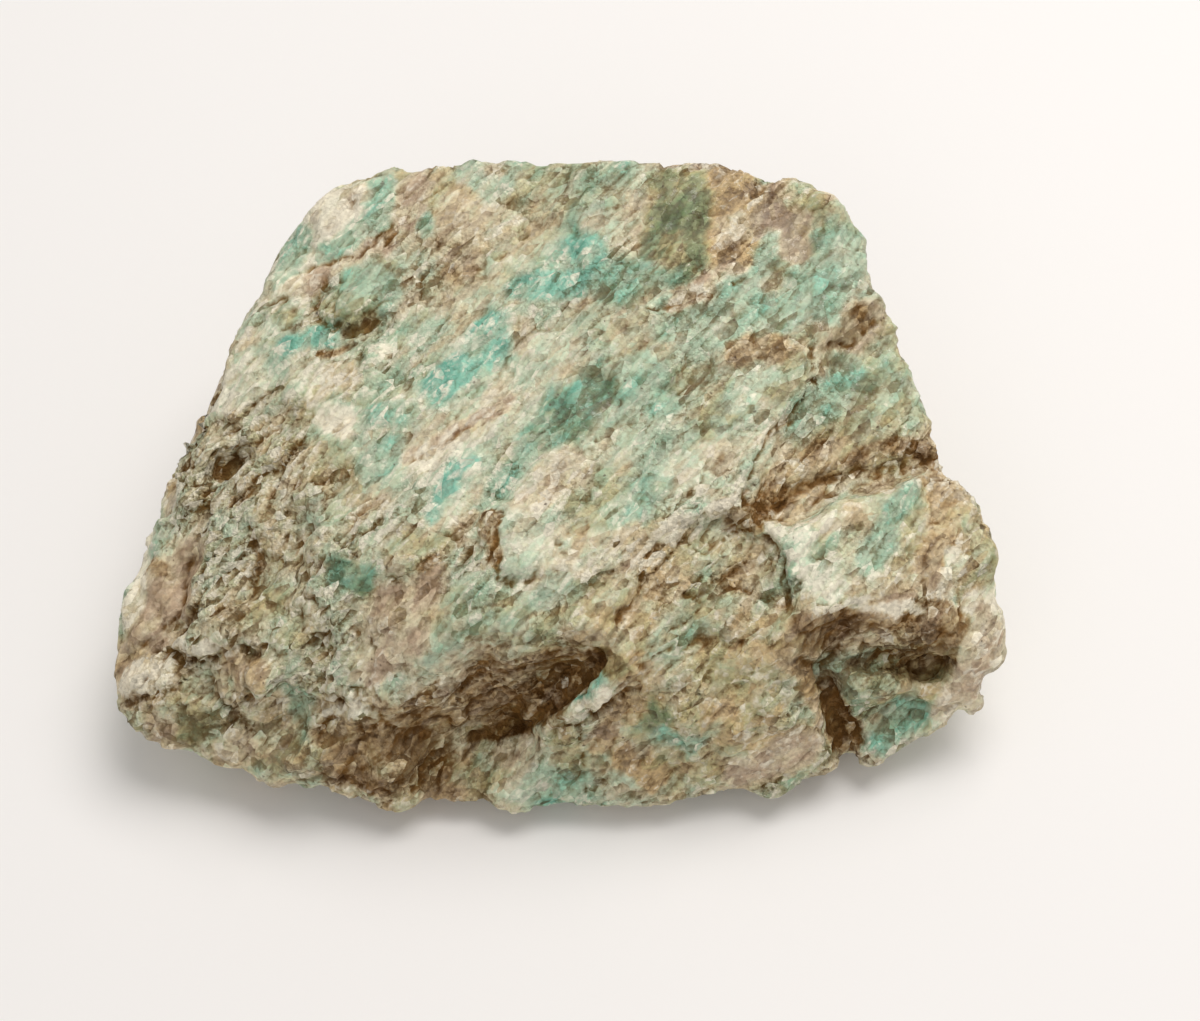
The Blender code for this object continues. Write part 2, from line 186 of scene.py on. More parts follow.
# Single patches of mineral: kind, half width in millimetres, places in the photograph
PATCHES = {
    "knob face": ("white", 5.6, (330, 212), (345, 205)),
    "knob face edge": ("white", 3.2, (312, 225), (325, 232)),
    "knob teal side": ("teal", 2.8, (386, 184), (375, 215), (352, 243), (325, 254)),
    "knob teal foot": ("teal", 3.0, (297, 236), (288, 262), (283, 275)),
    "knob seam": ("pink", 1.9, (385, 243), (350, 260), (318, 274), (290, 287)),
    "rust by the knob": ("brown", 1.0, (386, 234), (389, 241)),
    "smooth block behind": ("pink", 3.4, (414, 188), (410, 215)),
    "chip behind": ("teal", 1.6, (424, 222), (425, 232)),
    "cream block behind": ("cream", 4.6, (455, 222), (485, 222)),
    "pale crystal behind": ("mint", 3.2, (478, 178), (500, 190)),
    "stain behind": ("tan", 1.8, (448, 272), (470, 268)),
    "round lump": ("grey green", 6.2, (345, 300), (370, 288)),
    "round lump crown": ("teal", 2.6, (355, 278), (385, 282)),
    "round lump side": ("teal", 1.8, (393, 285), (388, 308)),
    "left cream spot": ("cream", 2.2, (285, 290), (298, 292)),
    "small lump": ("grey green", 2.2, (278, 305), (288, 318)),
    "left turquoise": ("turquoise", 2.6, (322, 334), (300, 345), (286, 362)),
    "left mint": ("mint", 3.2, (262, 368), (246, 390)),
    "left rim": ("pale", 2.6, (238, 372), (220, 402)),
    "left cream blobs": ("cream", 3.4, (308, 368), (340, 366)),
    "left brown dash": ("brown", 1.2, (320, 353), (340, 350)),
    "white dot": ("white", 1.2, (380, 347), (384, 350)),
    "left streak": ("mint", 1.7, (436, 326), (416, 352)),
    "top turquoise": ("turquoise", 4.0, (488, 322), (492, 352)),
    "top turquoise tail": ("teal", 2.4, (478, 346), (470, 356)),
    "lower turquoise": ("turquoise", 3.3, (456, 368), (436, 392)),
    "teal dash": ("teal", 2.2, (382, 414), (404, 412)),
    "back turquoise": ("turquoise", 2.9, (520, 292), (575, 284)),
    "left white quartz": ("white", 2.6, (326, 412), (342, 422)),
    "long pink streak": ("pink", 1.7, (412, 455), (450, 433), (505, 404)),
    "white blob": ("white", 3.0, (424, 458), (446, 450)),
    "mint flake": ("mint", 3.8, (440, 486), (462, 462)),
    "mint flake edge": ("turquoise", 1.6, (432, 512), (452, 478), (474, 460)),
    "teal by the slope": ("teal", 3.2, (370, 455), (386, 452)),
    "teal above the flake": ("teal", 2.6, (490, 500), (520, 468), (540, 440)),
    "bright lens": ("turquoise", 3.4, (590, 247), (592, 266)),
    "teal by the lens": ("sea green", 4.4, (622, 282), (655, 262), (672, 262)),
    "olive block": ("olive", 6.0, (672, 236), (694, 196)),
    "olive foot": ("grey green", 3.6, (655, 250), (668, 256)),
    "ochre band": ("ochre", 4.4, (735, 175), (738, 205), (726, 245)),
    "cream by the ochre": ("cream", 2.6, (722, 235), (740, 222)),
    "tan by the ochre": ("tan", 2.2, (752, 188), (758, 196)),
    "grey quartz": ("quartz", 2.6, (766, 212), (776, 228)),
    "right dash": ("teal", 2.3, (776, 244), (762, 266)),
    "right lump side": ("sea green", 3.6, (830, 238), (826, 252)),
    "right lump": ("grey green", 3.2, (800, 188), (815, 205)),
    "under the right lump": ("quartz", 2.4, (796, 230), (792, 255)),
    "right teal field": ("teal", 5.6, (790, 310), (812, 290), (838, 282)),
    "right rim": ("mint", 3.2, (852, 245), (862, 285)),
    "quartz strip": ("pink", 1.8, (740, 272), (700, 288), (662, 303)),
    "striped teal": ("teal", 4.6, (672, 318), (700, 322), (745, 300)),
    "striped teal foot": ("mint", 3.2, (700, 345), (712, 330)),
    "quartz strip end": ("white", 1.5, (696, 291), (676, 300)),
    "pink quartz": ("quartz", 3.6, (868, 312), (838, 338), (824, 354)),
    "brown in the quartz": ("brown", 1.9, (860, 308), (864, 316)),
    "oval": ("cream", 4.6, (800, 360), (780, 392)),
    "oval middle": ("grey green", 3.2, (796, 366), (782, 388)),
    "stain above the oval": ("tan", 3.0, (745, 350), (778, 342)),
    "upper right teal": ("teal", 4.0, (848, 372), (822, 398), (796, 418)),
    "dark lens": ("deep teal", 5.0, (600, 388), (576, 415), (562, 440)),
    "teal middle": ("teal", 3.6, (640, 372), (656, 400)),
    "middle": ("grey green", 3.4, (700, 420), (735, 385)),
    "mint streak": ("mint", 2.0, (738, 402), (762, 372)),
    "flake": ("mint", 4.4, (510, 555), (545, 520)),
    "cream by the flake": ("cream", 3.8, (530, 492), (566, 462)),
    "flake's cream rim": ("cream", 1.6, (536, 498), (552, 486)),
    "brown by the flake": ("brown", 1.6, (488, 515), (492, 560)),
    "right of the flake": ("grey green", 4.0, (580, 510), (610, 480)),
    "teal ledge": ("teal", 2.6, (636, 520), (655, 486)),
    "cream lump": ("cream", 3.6, (600, 552), (625, 542)),
    "mint tongue": ("mint", 2.2, (545, 600), (552, 572)),
    "white ledge": ("white", 1.4, (655, 540), (690, 520), (735, 500)),
    "crystal": ("mint", 1.6, (748, 470), (751, 486)),
    "crystal foot": ("white", 1.4, (748, 494), (752, 506)),
    "spot by the oval": ("cream", 2.0, (768, 432), (782, 424)),
    "brown valley": ("brown", 1.8, (850, 462), (905, 446), (948, 458)),
    "valley corner": ("brown", 2.8, (742, 520), (770, 500)),
    "block teal": ("teal", 2.6, (912, 488), (892, 512), (868, 560)),
    "block pale left": ("pale", 2.6, (812, 570), (832, 586)),
    "block corner": ("pale", 2.6, (775, 532), (800, 548)),
    "block cream": ("cream", 3.0, (850, 505), (825, 520)),
    "block tan": ("tan", 3.0, (935, 490), (945, 530), (930, 575)),
    "block pale right": ("pale", 2.0, (958, 560), (948, 592)),
    # Painted shade in brown under the block's front ledge
    "block underside": ("brown", 2.0, (800, 622), (860, 622), (920, 622), (955, 630)),
    "block front edge": ("white", 1.2, (850, 604), (890, 606), (920, 610)),
    "white shoulder": ("white", 2.4, (970, 606), (990, 598)),
    "right post": ("white", 1.8, (974, 640), (968, 668)),
    "right post pink": ("pink", 3.4, (985, 630), (972, 690), (958, 716)),
    "hollow bar": ("cream", 1.7, (852, 640), (885, 635)),
    # Painted shade on the right hollow's floor
    "right hollow floor": ("shaded dull", 3.4, (865, 680), (905, 690)),
    "lower teal": ("sea green", 3.2, (880, 735), (915, 712)),
    # Painted shade in the cleft, brown and dark
    "cleft floor": ("brown", 2.6, (838, 700), (846, 740)),
    "cleft shade": ("dark", 1.4, (812, 672), (824, 695), (842, 722)),
    "dome right edge": ("tan", 2.0, (778, 645), (806, 680), (822, 720)),
    "dome foot": ("quartz", 3.4, (740, 770), (800, 745)),
    "dome pale": ("straw", 3.2, (700, 668), (750, 662)),
    "dome olive": ("olive", 2.6, (640, 700), (655, 720)),
    "dome teal": ("teal", 2.4, (668, 736), (690, 745)),
    "dome tan": ("tan", 2.4, (728, 712), (730, 735)),
    "dome left": ("tan", 2.8, (596, 745), (640, 665)),
    "dome ochre": ("ochre", 2.4, (625, 760), (650, 775)),
    "ridge foot": ("grey green", 3.0, (572, 756), (560, 742)),
    "front rim teal": ("teal", 2.6, (545, 780), (575, 790)),
    "ridge teal": ("turquoise", 1.7, (600, 678), (580, 705)),
    "ridge white": ("white", 1.2, (606, 692), (572, 718)),
    # Painted shade in the front hollow: above the ridge, on its wall and along the crease
    "above the ridge": ("shaded moss", 2.2, (605, 660), (618, 668)),
    "hollow shade": ("brown", 2.0, (592, 660), (560, 690), (520, 720)),
    "hollow bottom": ("brown", 2.4, (500, 716), (530, 690)),
    "hollow crease": ("dark", 0.9, (560, 712), (510, 726), (478, 738)),
    "slope pocket": ("grey green", 2.2, (398, 546), (440, 540)),
    "deep slope pocket": ("deep teal", 2.6, (340, 572), (362, 580)),
    "slope pink": ("pink", 3.4, (372, 672), (420, 640)),
    "slope quartz": ("quartz", 3.4, (395, 605), (425, 590)),
    "slope green": ("grey green", 2.4, (260, 610), (275, 592)),
    "upper slope": ("grey green", 2.2, (352, 490), (330, 520)),
    "left quartz": ("quartz", 4.2, (182, 560), (172, 600), (150, 630)),
    "left white": ("white", 2.0, (150, 540), (140, 590), (128, 620)),
    "left edge brown": ("brown", 1.6, (152, 566), (166, 572)),
    # Painted highlight: the shelf's glinting facet painted white
    "shelf": ("white", 1.3, (174, 640), (208, 646)),
    "ribbed block": ("white", 2.6, (130, 682), (158, 678)),
    "front green": ("teal", 3.8, (300, 700), (318, 735)),
    "front left cream": ("cream", 2.4, (262, 712), (280, 705)),
    # Painted shade at the left corner
    "left corner moss": ("shaded moss", 2.2, (185, 738), (195, 720)),
    "beige lump": ("tan", 2.2, (240, 660), (256, 680)),
    "corner cream": ("cream", 2.4, (225, 748), (246, 744)),
    "front left lump": ("tan", 4.6, (330, 730), (350, 742)),
    "front left crown": ("white", 1.4, (335, 712), (362, 708)),
    "left foot": ("brown", 2.0, (345, 775), (372, 785)),
    "foot green": ("grey green", 2.4, (460, 785), (500, 775)),
    "rust fleck": ("dark", 1.7, (420, 566), (428, 564)),
    "foot end": ("tan", 2.0, (430, 800), (445, 795)),
}

# Painted shade and painted light, parts made duller or brighter: how much, reach in millimetres, places in
# the photograph
SHADES = {
    "right of the top": (-0.2, 22, (660, 250), (720, 300), (800, 290), (850, 370)),
    "behind": (-0.08, 12, (400, 200), (470, 210), (560, 190), (640, 190)),
    "round lump foot": (-0.14, 10, (410, 260), (470, 290)),
    "top middle": (-0.1, 16, (620, 420), (700, 400), (760, 440)),
    "front shoulder": (-0.16, 9, (420, 650), (480, 640), (560, 650)),
    "slope": (-0.1, 12, (210, 690), (260, 610), (300, 560)),
    "under the terrace": (-0.14, 9, (710, 600), (770, 610)),
    "block": (-0.04, 9, (840, 520), (900, 500)),
    "front foot": (-0.25, 8, (250, 740), (330, 750), (400, 760)),
    "dome": (-0.08, 10, (640, 720), (700, 760)),
    "front teal": (-0.1, 8, (570, 760), (620, 750)),
    "upper middle": (-0.08, 14, (380, 330), (460, 250), (540, 210)),
    "right hollow": (-0.3, 9, (820, 650), (880, 655), (935, 650)),
    "cleft": (-0.2, 4, (812, 672), (838, 700), (846, 740)),
    "front middle": (-0.12, 8, (430, 775), (500, 770)),
    "front hollow": (-0.2, 8, (430, 730), (500, 700), (570, 675)),
    "dome foot": (0.2, 7, (740, 770), (790, 750)),
    "left end": (-0.12, 8, (150, 620), (160, 700), (190, 730)),
    # Painted highlight on the ribbed block's facets
    "ribbed block": (0.5, 4, (130, 682), (160, 678)),
    "oval": (-0.1, 6, (800, 360), (780, 392)),
}

# Cracks: width and depth in millimetres, places in the photograph; a negative depth is a rib
CRACKS = {
    "round lump foot": (1.3, 1.1, (316, 318), (332, 328), (352, 331), (374, 322)),
    "round lump left": (1.1, 0.8, (318, 316), (316, 296), (324, 280)),
    "round lump middle": (0.9, 0.5, (326, 306), (345, 316), (366, 314), (386, 300)),
    "round lump top": (0.8, 0.4, (360, 292), (378, 290), (392, 280)),
    "seam, upper side": (1.0, 0.7, (392, 224), (372, 246), (342, 258), (308, 270)),
    "small lump": (0.9, 0.6, (272, 304), (284, 297), (294, 310), (290, 326), (272, 336)),
    "top turquoise seam": (0.8, 0.4, (425, 375), (408, 392), (388, 410)),
    "long streak seam": (0.8, 0.5, (412, 460), (452, 438), (500, 412)),
    "flake left": (1.0, 0.9, (497, 577), (497, 540), (502, 512)),
    "flake front": (1.2, 1.0, (497, 580), (525, 583), (537, 574), (558, 545)),
    "around the quartz": (1.1, 1.0, (190, 563), (183, 600), (169, 620), (143, 645)),
    "across the slope": (1.2, 1.2, (167, 478), (190, 465), (215, 454)),
    "slope pit": (1.8, 1.4, (222, 470), (230, 474)),
    "second slope pit": (1.6, 1.2, (232, 496), (238, 502)),
    "slope crack": (0.9, 0.8, (300, 462), (306, 474), (294, 486)),
    "shelf crack": (1.3, 1.4, (160, 652), (190, 662), (220, 660)),
    "ribbed block foot": (1.2, 1.1, (126, 702), (150, 698), (170, 690)),
    "beige lump": (1.2, 1.2, (236, 690), (250, 700), (270, 694)),
    "quartz strip": (0.9, 0.6, (745, 278), (712, 294), (668, 306), (650, 308)),
    "right of the oval": (1.0, 0.8, (812, 348), (816, 370), (805, 398), (778, 432)),
    "pink quartz foot": (1.0, 0.8, (875, 322), (850, 346), (822, 366)),
    "terrace edge": (1.2, 0.9, (818, 380), (790, 418), (762, 452), (745, 500)),
    "long diagonal": (0.9, 0.7, (722, 455), (690, 490), (665, 520)),
    "behind the block": (1.6, 1.2, (757, 518), (800, 490), (855, 468), (930, 462)),
    "block seam": (0.8, 0.4, (780, 520), (830, 496), (880, 478)),
    "block left side": (1.2, 1.2, (757, 520), (770, 542), (783, 562), (786, 600)),
    "under the terrace": (1.1, 0.8, (692, 598), (740, 588), (785, 606)),
    "terrace crack": (0.9, 0.8, (655, 545), (640, 585), (618, 618)),
    "dome top": (1.0, 0.8, (640, 668), (672, 650), (700, 640), (740, 648)),
    "dome left": (0.9, 0.7, (585, 726), (582, 760), (586, 792)),
    "cleft": (1.6, 1.4, (808, 664), (826, 694), (842, 710), (856, 738)),
    "under the ridge": (1.4, 1.5, (612, 698), (586, 722), (556, 732)),
    "hollow crease": (1.4, 1.4, (600, 655), (560, 705), (515, 724), (474, 738)),
    "foot crack": (1.1, 1.0, (443, 760), (424, 772), (413, 790)),
    "front left lump": (0.9, 0.7, (306, 742), (330, 718), (372, 722)),
    "left quartz lump": (4.6, -1.1, (168, 566), (160, 600), (142, 632)),
    "ribbed block": (4.4, -0.9, (128, 684), (160, 684), (186, 678)),
    "beige lump, raised": (3.6, -1.2, (245, 660), (258, 684)),
    "left edge knob": (3.0, -0.8, (128, 600), (124, 620)),
    "slope facet": (4.0, -0.6, (380, 625), (400, 610)),
    "mint flake, raised": (4.6, -0.7, (440, 486), (466, 460)),
    "olive block, raised": (6.0, -0.8, (676, 236), (694, 196)),
    "bright lens, raised": (3.0, -0.6, (590, 250), (590, 264)),
    "block corner, raised": (3.6, -0.6, (775, 530), (800, 540)),
    "first rib": (0.7, -0.4, (128, 676), (160, 672)),
    "second rib": (0.7, -0.4, (126, 686), (160, 683)),
    "third rib": (0.7, -0.4, (126, 695), (156, 692)),
    "rib of the ridge": (1.1, -0.7, (612, 680), (590, 704), (566, 722)),
    "white ledge rib": (1.0, -0.3, (655, 540), (690, 521), (738, 500)),
}

# Rounds of evening that find thin tips, and how far out in millimetres they are kept and are worn off
WEAR_ROUNDS = 24
WEAR_RANGE = (0.4, 1.2)

# Wanders: length of their waves and reach in millimetres, and seed
BORDER_WANDERS = ((9, 1.2, 90), (4, 1.3, 93), (1.7, 0.7, 96))
GRAIN_WANDER = (4, 0.7, 110)

# Ledges, swells and ripples: length of their waves in millimetres, first seed and number of sizes
LEDGE_STRETCH = 2.6
LEDGE_WAVES = (8, 100, 3)
SWELL_WAVES = (6, 130, 3)
RIPPLE_WAVES = (1.8, 140, 2)
SWELL_HEIGHT = 0.22
RIPPLE_HEIGHT = 0.14

# Where on its tread a ledge begins to rise, and the height of its top in ledge heights
LEDGE_BRINK = 0.8
LEDGE_TOP = 0.4

# Grains and crumbs: stretch, seeds, tilts, and the width of the seams in millimetres
GRAIN_STRETCH = 1.7
GRAIN_SEED = 5
CRUMB_SEED = 6
GRAIN_TILT = 0.6
STEEPEST_GRAIN = 1.6
CRUMB_TILT = 0.8
SEAM_WIDTH = 0.9

# Each relief's strength on sound stone, and what crumbling adds
GRAIN_STRENGTH = (0.5, 1.6)
SEAM_STRENGTH = (0.25, 0.9)
CRUMB_STRENGTH = (0.2, 0.8)
SWELL_STRENGTH = (0.6, 1.4)

# The lowest and highest relief in millimetres, and how much of it smooth mineral loses
RELIEF_RANGE = (-1.2, 0.8)
SMOOTH_LOSS = 0.85

# What hollows do, as brown staining with painted shade in the dirt and shade field and as painted shade in
# the light field: the field, rounds of evening that find them, depths in millimetres that count, strength
HOLLOWS = (("dirt_and_shade", 3, (0, 0.3), 1.1), ("dirt_and_shade", 30, (-0.3, 0.8), 0.35), ("light", 3, (-0.12, 0.12), -1.6))
SEAM_DIRT = 0.2
SOUND_SEAM = 0.3
CRACK_DIRT = 0.5

# Where the material looks up its patterns: turns, stretches, sizes in millimetres,
# and wanders by the length of their waves and their reach
RAGGED_WANDER = (2.6, 1.8)
DRAWN_STRETCH = 2.4
DRAWN_WANDER = (2.4, 1.3)
FIBRE_TURN = LAMINATION_TURN + 0.1
FIBRE_STRETCH = 7.0
FACET_STRETCH = 1.8
FACET_SIZE = 1.7
SMALL_FACET_SIZE = 0.75

# The noises of the material: where they are looked up, their size in millimetres and their detail
NOISES = {
    "blotch": ("drawn", 2.6, 4.0),
    "mottle": ("flat", 0.6, 3.0),
    "streak": ("fibres", 0.8, 2.0),
    "warmth": ("ragged", 4.0, 2.0),
    "flecks": ("ragged", 1.3, 3.0),
    "spots": ("ragged", 1.4, 4.0),
    "rough areas": ("drawn", 7.0, 2.0),
    "specked areas": ("flat", 5.0, 2.0),
}

# How far the patterns move each field, and the stone's brightness
GREEN_SWAYS = {"grain": 0.16, "blotch": 0.72, "mottle": 0.26, "facet Red": 0.16}
WARM_SWAYS = {"facet Green": 0.2, "warmth": 0.6}
LIGHT_SWAYS = {"facet Blue": 0.42, "streak": 0.4, "flecks": 0.3, "small facet Blue": 0.22}
DIRT_SWAYS = {"spots": 0.78}
BRIGHTNESS_SWAYS = {"facet Red": 0.3, "small facet Red": 0.3, "streak": 0.35, "mottle": 0.5}

# The material's fine relief: each pattern's height in millimetres, and how rough areas are
HEIGHTS = {"small facet height": 0.7, "facet height": 0.75, "mottle": 0.5, "streak": 0.22}
MEAN_HEIGHT = 0.5 * (HEIGHTS["mottle"] + HEIGHTS["streak"])
ROUGH_RANGE = (0.4, 0.64)
ROUGH_ADDED = 0.7
ROUGH_LEAST = 0.25
CRUMBLED_ADDED = 0.7
SMOOTH_LOST = 0.7
# Painted light from the fine relief: raised bits lighter as painted highlight, low bits darker and browner
# as painted shade
HEIGHT_LIGHT = 1.1
HEIGHT_DIRT_AND_SHADE = 0.5

# The greens at which the colours of a band stand, and the warmths between the cool and the warm band
GREEN_STOPS = (0.0, 0.28, 0.5, 0.68, 0.86, 1.0)
WARM_RANGE = (0.25, 0.8)

# Covers: where each begins, where it is full, and how much it then covers; low light paints shade with the
# shade tint, high light paints white for pale mineral and painted highlights, and dirt paints stains and
# painted shade
SHADE_COVER = (0.52, -0.14, 0.95)
WHITE_COVER = (0.52, 1.05, 0.8)
DIRT_AND_SHADE_COVER = (0.12, 0.95, 0.92)
SHADE_TINT = (0.4, 0.34, 0.24, 1)
STAIN_RANGE = (0.3, 0.7)
TINTED_SHARE = 0.65
SPECK_SPACING = 1.3
SPECK_RANGE = (0.22, 0.12)
SPECKED_RANGE = (0.56, 0.7)
SPECK_COVER = 0.75

# Polish: the dice of the facets that glint, and the roughness of the mineral
GLINT_RANGE = (0.82, 0.86)
PLAIN_ROUGHNESS = 0.6
SMOOTH_POLISH = 0.18
GLINT_POLISH = 0.3
SPECULAR = 0.5

# The stage: its slightly warm lights, with places and sizes in metres, and its floor
LIGHT_COLOUR = (1.0, 0.965, 0.935)
MAIN_LIGHT_PLACE = (0.36, 0.42, 1.08)
MAIN_LIGHT_SIZE = 0.8
FILL_LIGHT_PLACE = (-0.25, -0.75, 0.60)
FILL_LIGHT_SIZE = 0.6
SURROUNDINGS_COLOUR = (1.0, 0.985, 0.97, 1)
FLOOR_ROUGHNESS = 0.6

# Dice for the noise and the grains, and how far a grain's middle strays in its cell
DICE_SIDES = 4093
DICE_SEED = 11
DICE = np.random.default_rng(DICE_SEED).uniform(-1, 1, (DICE_SIDES, 6))
DICE_STEPS = np.array([73856093, 19349663, 83492791])
SEED_STEP = 2654435
KEY_BITS = 0x7FFFFFFF
NOISE_GAIN = 1.6
GRAIN_SCATTER = 0.48
FAR = 9.0


def rolled(cells, seed):
    """The dice of each lattice cell, six numbers from -1 to 1 each."""
    steps = cells * DICE_STEPS
    key = steps[:, 0] ^ steps[:, 1] ^ steps[:, 2] ^ (seed * SEED_STEP)
    return DICE[(key & KEY_BITS) % DICE_SIDES]


def noise(points, size, seed):
    """Smooth gradient noise whose waves are about as long as the size, mostly from -1 to 1."""
    scaled = points / size
    home = np.floor(scaled).astype(np.int64)
    inside = scaled - home
    share = inside * inside * (3 - 2 * inside)
    total = np.zeros(len(points))
    for corner in itertools.product((0, 1), repeat=3):
        slope = rolled(home + corner, seed)[:, :3]
        weight = np.where(corner, share, 1 - share).prod(axis=1)
        total += weight * ((inside - corner) * slope).sum(axis=1)
    return total * NOISE_GAIN


def layered(points, size, seed, layers):
    """Noise of several sizes, each half as large and half as strong as the one before."""
    total = np.zeros(len(points))
    for layer in range(layers):
        total += noise(points, size / 2**layer, seed + layer) / 2**layer
    return total


def wandered(points, size, reach, seed):
    """The points moved about by noise, each way by up to about the reach."""
    return points + reach * np.column_stack([noise(points, size, seed + axis) for axis in range(3)])


def lamination():
    """Three unit vectors: along the lamination, across it in plan, and square to both."""
    turn, rise = LAMINATION_TURN, LAMINATION_RISE
    along = Vector((math.cos(turn) * math.cos(rise), math.sin(turn) * math.cos(rise), math.sin(rise)))
    across = Vector((-math.sin(turn), math.cos(turn), 0))
    return np.array([along, across, along.cross(across)])


def drawn_out(points, stretch):
    """The points as the lamination sees them, so that patterns come out longer along it."""
    return points @ lamination().T / np.array([stretch, 1, 1])


def grains(points, size, seed):
    """The grain that each point is in: its dice, the point's place in it, and how far its border is."""
    scaled = points / size
    home = np.floor(scaled).astype(np.int64)
    nearest = np.full(len(points), FAR)
    second = np.full(len(points), FAR)
    place = np.zeros((len(points), 3))
    dice = np.zeros((len(points), 6))
    for step in itertools.product((-1, 0, 1), repeat=3):
        cell = home + step
        cell_dice = rolled(cell, seed)
        gap = scaled - (cell + 0.5 + GRAIN_SCATTER * cell_dice[:, :3])
        distance = np.sqrt((gap * gap).sum(axis=1))
        nearer = distance < nearest
        second = np.where(nearer, nearest, np.minimum(second, distance))
        nearest = np.where(nearer, distance, nearest)
        place[nearer] = gap[nearer]
        dice[nearer] = cell_dice[nearer]
    return dice[:, 3:], place * size, (second - nearest) * size


def ramp(value, low, high):
    """0 below low, 1 above high, smooth between."""
    share = np.clip((value - low) / (high - low), 0, 1)
    return share * share * (3 - 2 * share)


def distance_to_route(points, route):
    """How far each point is from a line through the route's places."""
    best = np.full(len(points), np.inf)
    for start, end in zip(route[:-1], route[1:]):
        step = end - start
        along = np.clip((points - start) @ step / max(step @ step, SHORTEST_STEP), 0, 1)
        best = np.minimum(best, np.linalg.norm(points - start - along[:, None] * step, axis=1))
    return best


def camera_axes():
    """The camera's right, up and back directions."""
    ahead = Vector((0, math.cos(CAMERA_PITCH), -math.sin(CAMERA_PITCH)))
    level = Vector((1, 0, 0))
    upright = level.cross(ahead)
    right = level * math.cos(CAMERA_ROLL) + upright * math.sin(CAMERA_ROLL)
    up = upright * math.cos(CAMERA_ROLL) - level * math.sin(CAMERA_ROLL)
    return right, up, -ahead


class Sight:
    """Finds the places of the stone that the photograph's camera sees at given pixels."""

    def __init__(self, obj):
        self.tree = bvhtree.BVHTree.FromObject(obj, bpy.context.evaluated_depsgraph_get())

    def place(self, pixel):
        """The place at the pixel, or, off the stone, at the nearest pixel towards its middle."""
        right, up, back = camera_axes()
        focal = CAMERA_LENS / SENSOR_WIDTH * PHOTO_WIDTH
        for step in range(EDGE_STEPS):
            x, y = Vector(pixel).lerp(Vector(MIDDLE_OF_STONE), step * EDGE_STEP)
            ray = right * (x - PHOTO_WIDTH / 2) - up * (y - PHOTO_HEIGHT / 2) - back * focal
            hit = self.tree.ray_cast(Vector(CAMERA_PLACE), ray.normalized())[0]
            if hit is not None:
                return np.array(hit) / MM
        raise RuntimeError(f"the camera sees no stone near {pixel}")

    def route(self, pixels):
        return np.array([self.place(pixel) for pixel in pixels])


def read(items, name, kind, width):
    """A property of a mesh's items, one row of numbers for each."""
    values = np.empty(len(items) * width, dtype=kind)
    items.foreach_get(name, values)
    return values.reshape(-1, width)


def read_points(mesh):
    return read(mesh.vertices, "co", float, 3) / MM


def read_normals(mesh):
    return read(mesh.vertex_normals, "vector", np.float32, 3).astype(float)


def write_points(mesh, points):
    mesh.vertices.foreach_set("co", (points * MM).ravel())
    mesh.update()


def evened(values, edges, rounds):
    """The points' values, brought towards their neighbours' means a number of times."""
    count = len(values)
    ends = np.concatenate([edges[:, 0], edges[:, 1]])
    others = np.concatenate([edges[:, 1], edges[:, 0]])
    neighbours = np.bincount(ends, minlength=count)[:, None]
    for _ in range(rounds):
        sums = np.column_stack([np.bincount(ends, column[others], count) for column in values.T])
        values = 0.5 * values + 0.5 * sums / neighbours
    return values


def worn(points, edges, mesh):
    """The points with thin tips taken back towards their surroundings."""
    write_points(mesh, points)
    away = evened(points, edges, WEAR_ROUNDS) - points
    depth = -(away * read_normals(mesh)).sum(axis=1)
    return points + away * ramp(depth, *WEAR_RANGE)[:, None]


def write_field(mesh, name, values):
    field = mesh.attributes.new(name, "FLOAT", "POINT")
    field.data.foreach_set("value", np.clip(values, 0, 1).astype(np.float32))


def copy_of_node(node, name):
    """A new object with the node's mesh, its loose triangles merged."""
    bm = bmesh.new()
    bm.from_mesh(frame["nodes"][node].data)
    bmesh.ops.remove_doubles(bm, verts=bm.verts, dist=MERGE_DISTANCE)
    mesh = bpy.data.meshes.new(name)
    bm.to_mesh(mesh)
    bm.free()
    obj = bpy.data.objects.new(name, mesh)
    bpy.context.scene.collection.objects.link(obj)
    return obj


def even_grid(obj, grid):
    """The same shape under an even grid of small faces."""
    remesh = obj.modifiers.new("grid", "REMESH")
    remesh.mode = "VOXEL"
    remesh.voxel_size = grid
    graph = bpy.context.evaluated_depsgraph_get()
    finished = bpy.data.meshes.new_from_object(obj.evaluated_get(graph))
    obj.modifiers.clear()
    obj.data = finished


def mineral_fields(points, sight):
    """What the stone is made of at each point: the fields that KINDS lists, with painted shade and light
    among them.
    """
    turned = drawn_out(points, FIELD_STRETCH)
    small = layered(turned, *SMALL_WAVES)
    fields = {}
    for name, (middle, strength, waves, along) in PLAIN_FIELDS.items():
        fields[name] = middle + strength * layered(turned if along else points, *waves)
    fields["green"] += SMALL_GREEN * small
    fields["dirt_and_shade"] = np.clip(fields["dirt_and_shade"], 0, MOST_DIRT)
    fields["smooth"] = ramp(fields["smooth"], *SMOOTH_RANGE)
    fields["crumbled"] = ramp(fields["crumbled"], *CRUMBLED_RANGE) * MOST_CRUMBLED

    uneven = uneven_borders(points)
    for kind, reach, cover, *pixels in ZONES.values():
        paint(fields, kind, cover * ramp(nearness(uneven, sight, pixels, reach), 0, ZONE_FULL))
    for kind, reach, *pixels in PATCHES.values():
        near = nearness(uneven, sight, pixels, reach * PATCH_WIDENING)
        paint(fields, kind, PATCH_COVER * ramp(near + PATCH_WAVES * small, 0, PATCH_FULL))
    # Painted shade and light from SHADES, in the light field
    for gain, reach, *pixels in SHADES.values():
        fields["light"] += gain * ramp(nearness(uneven, sight, pixels, reach), 0, ZONE_FULL)
    return fields


def uneven_borders(points):
    """The points moved about at three sizes, for marks with uneven borders."""
    for wander in BORDER_WANDERS:
        points = wandered(points, *wander)
    return points


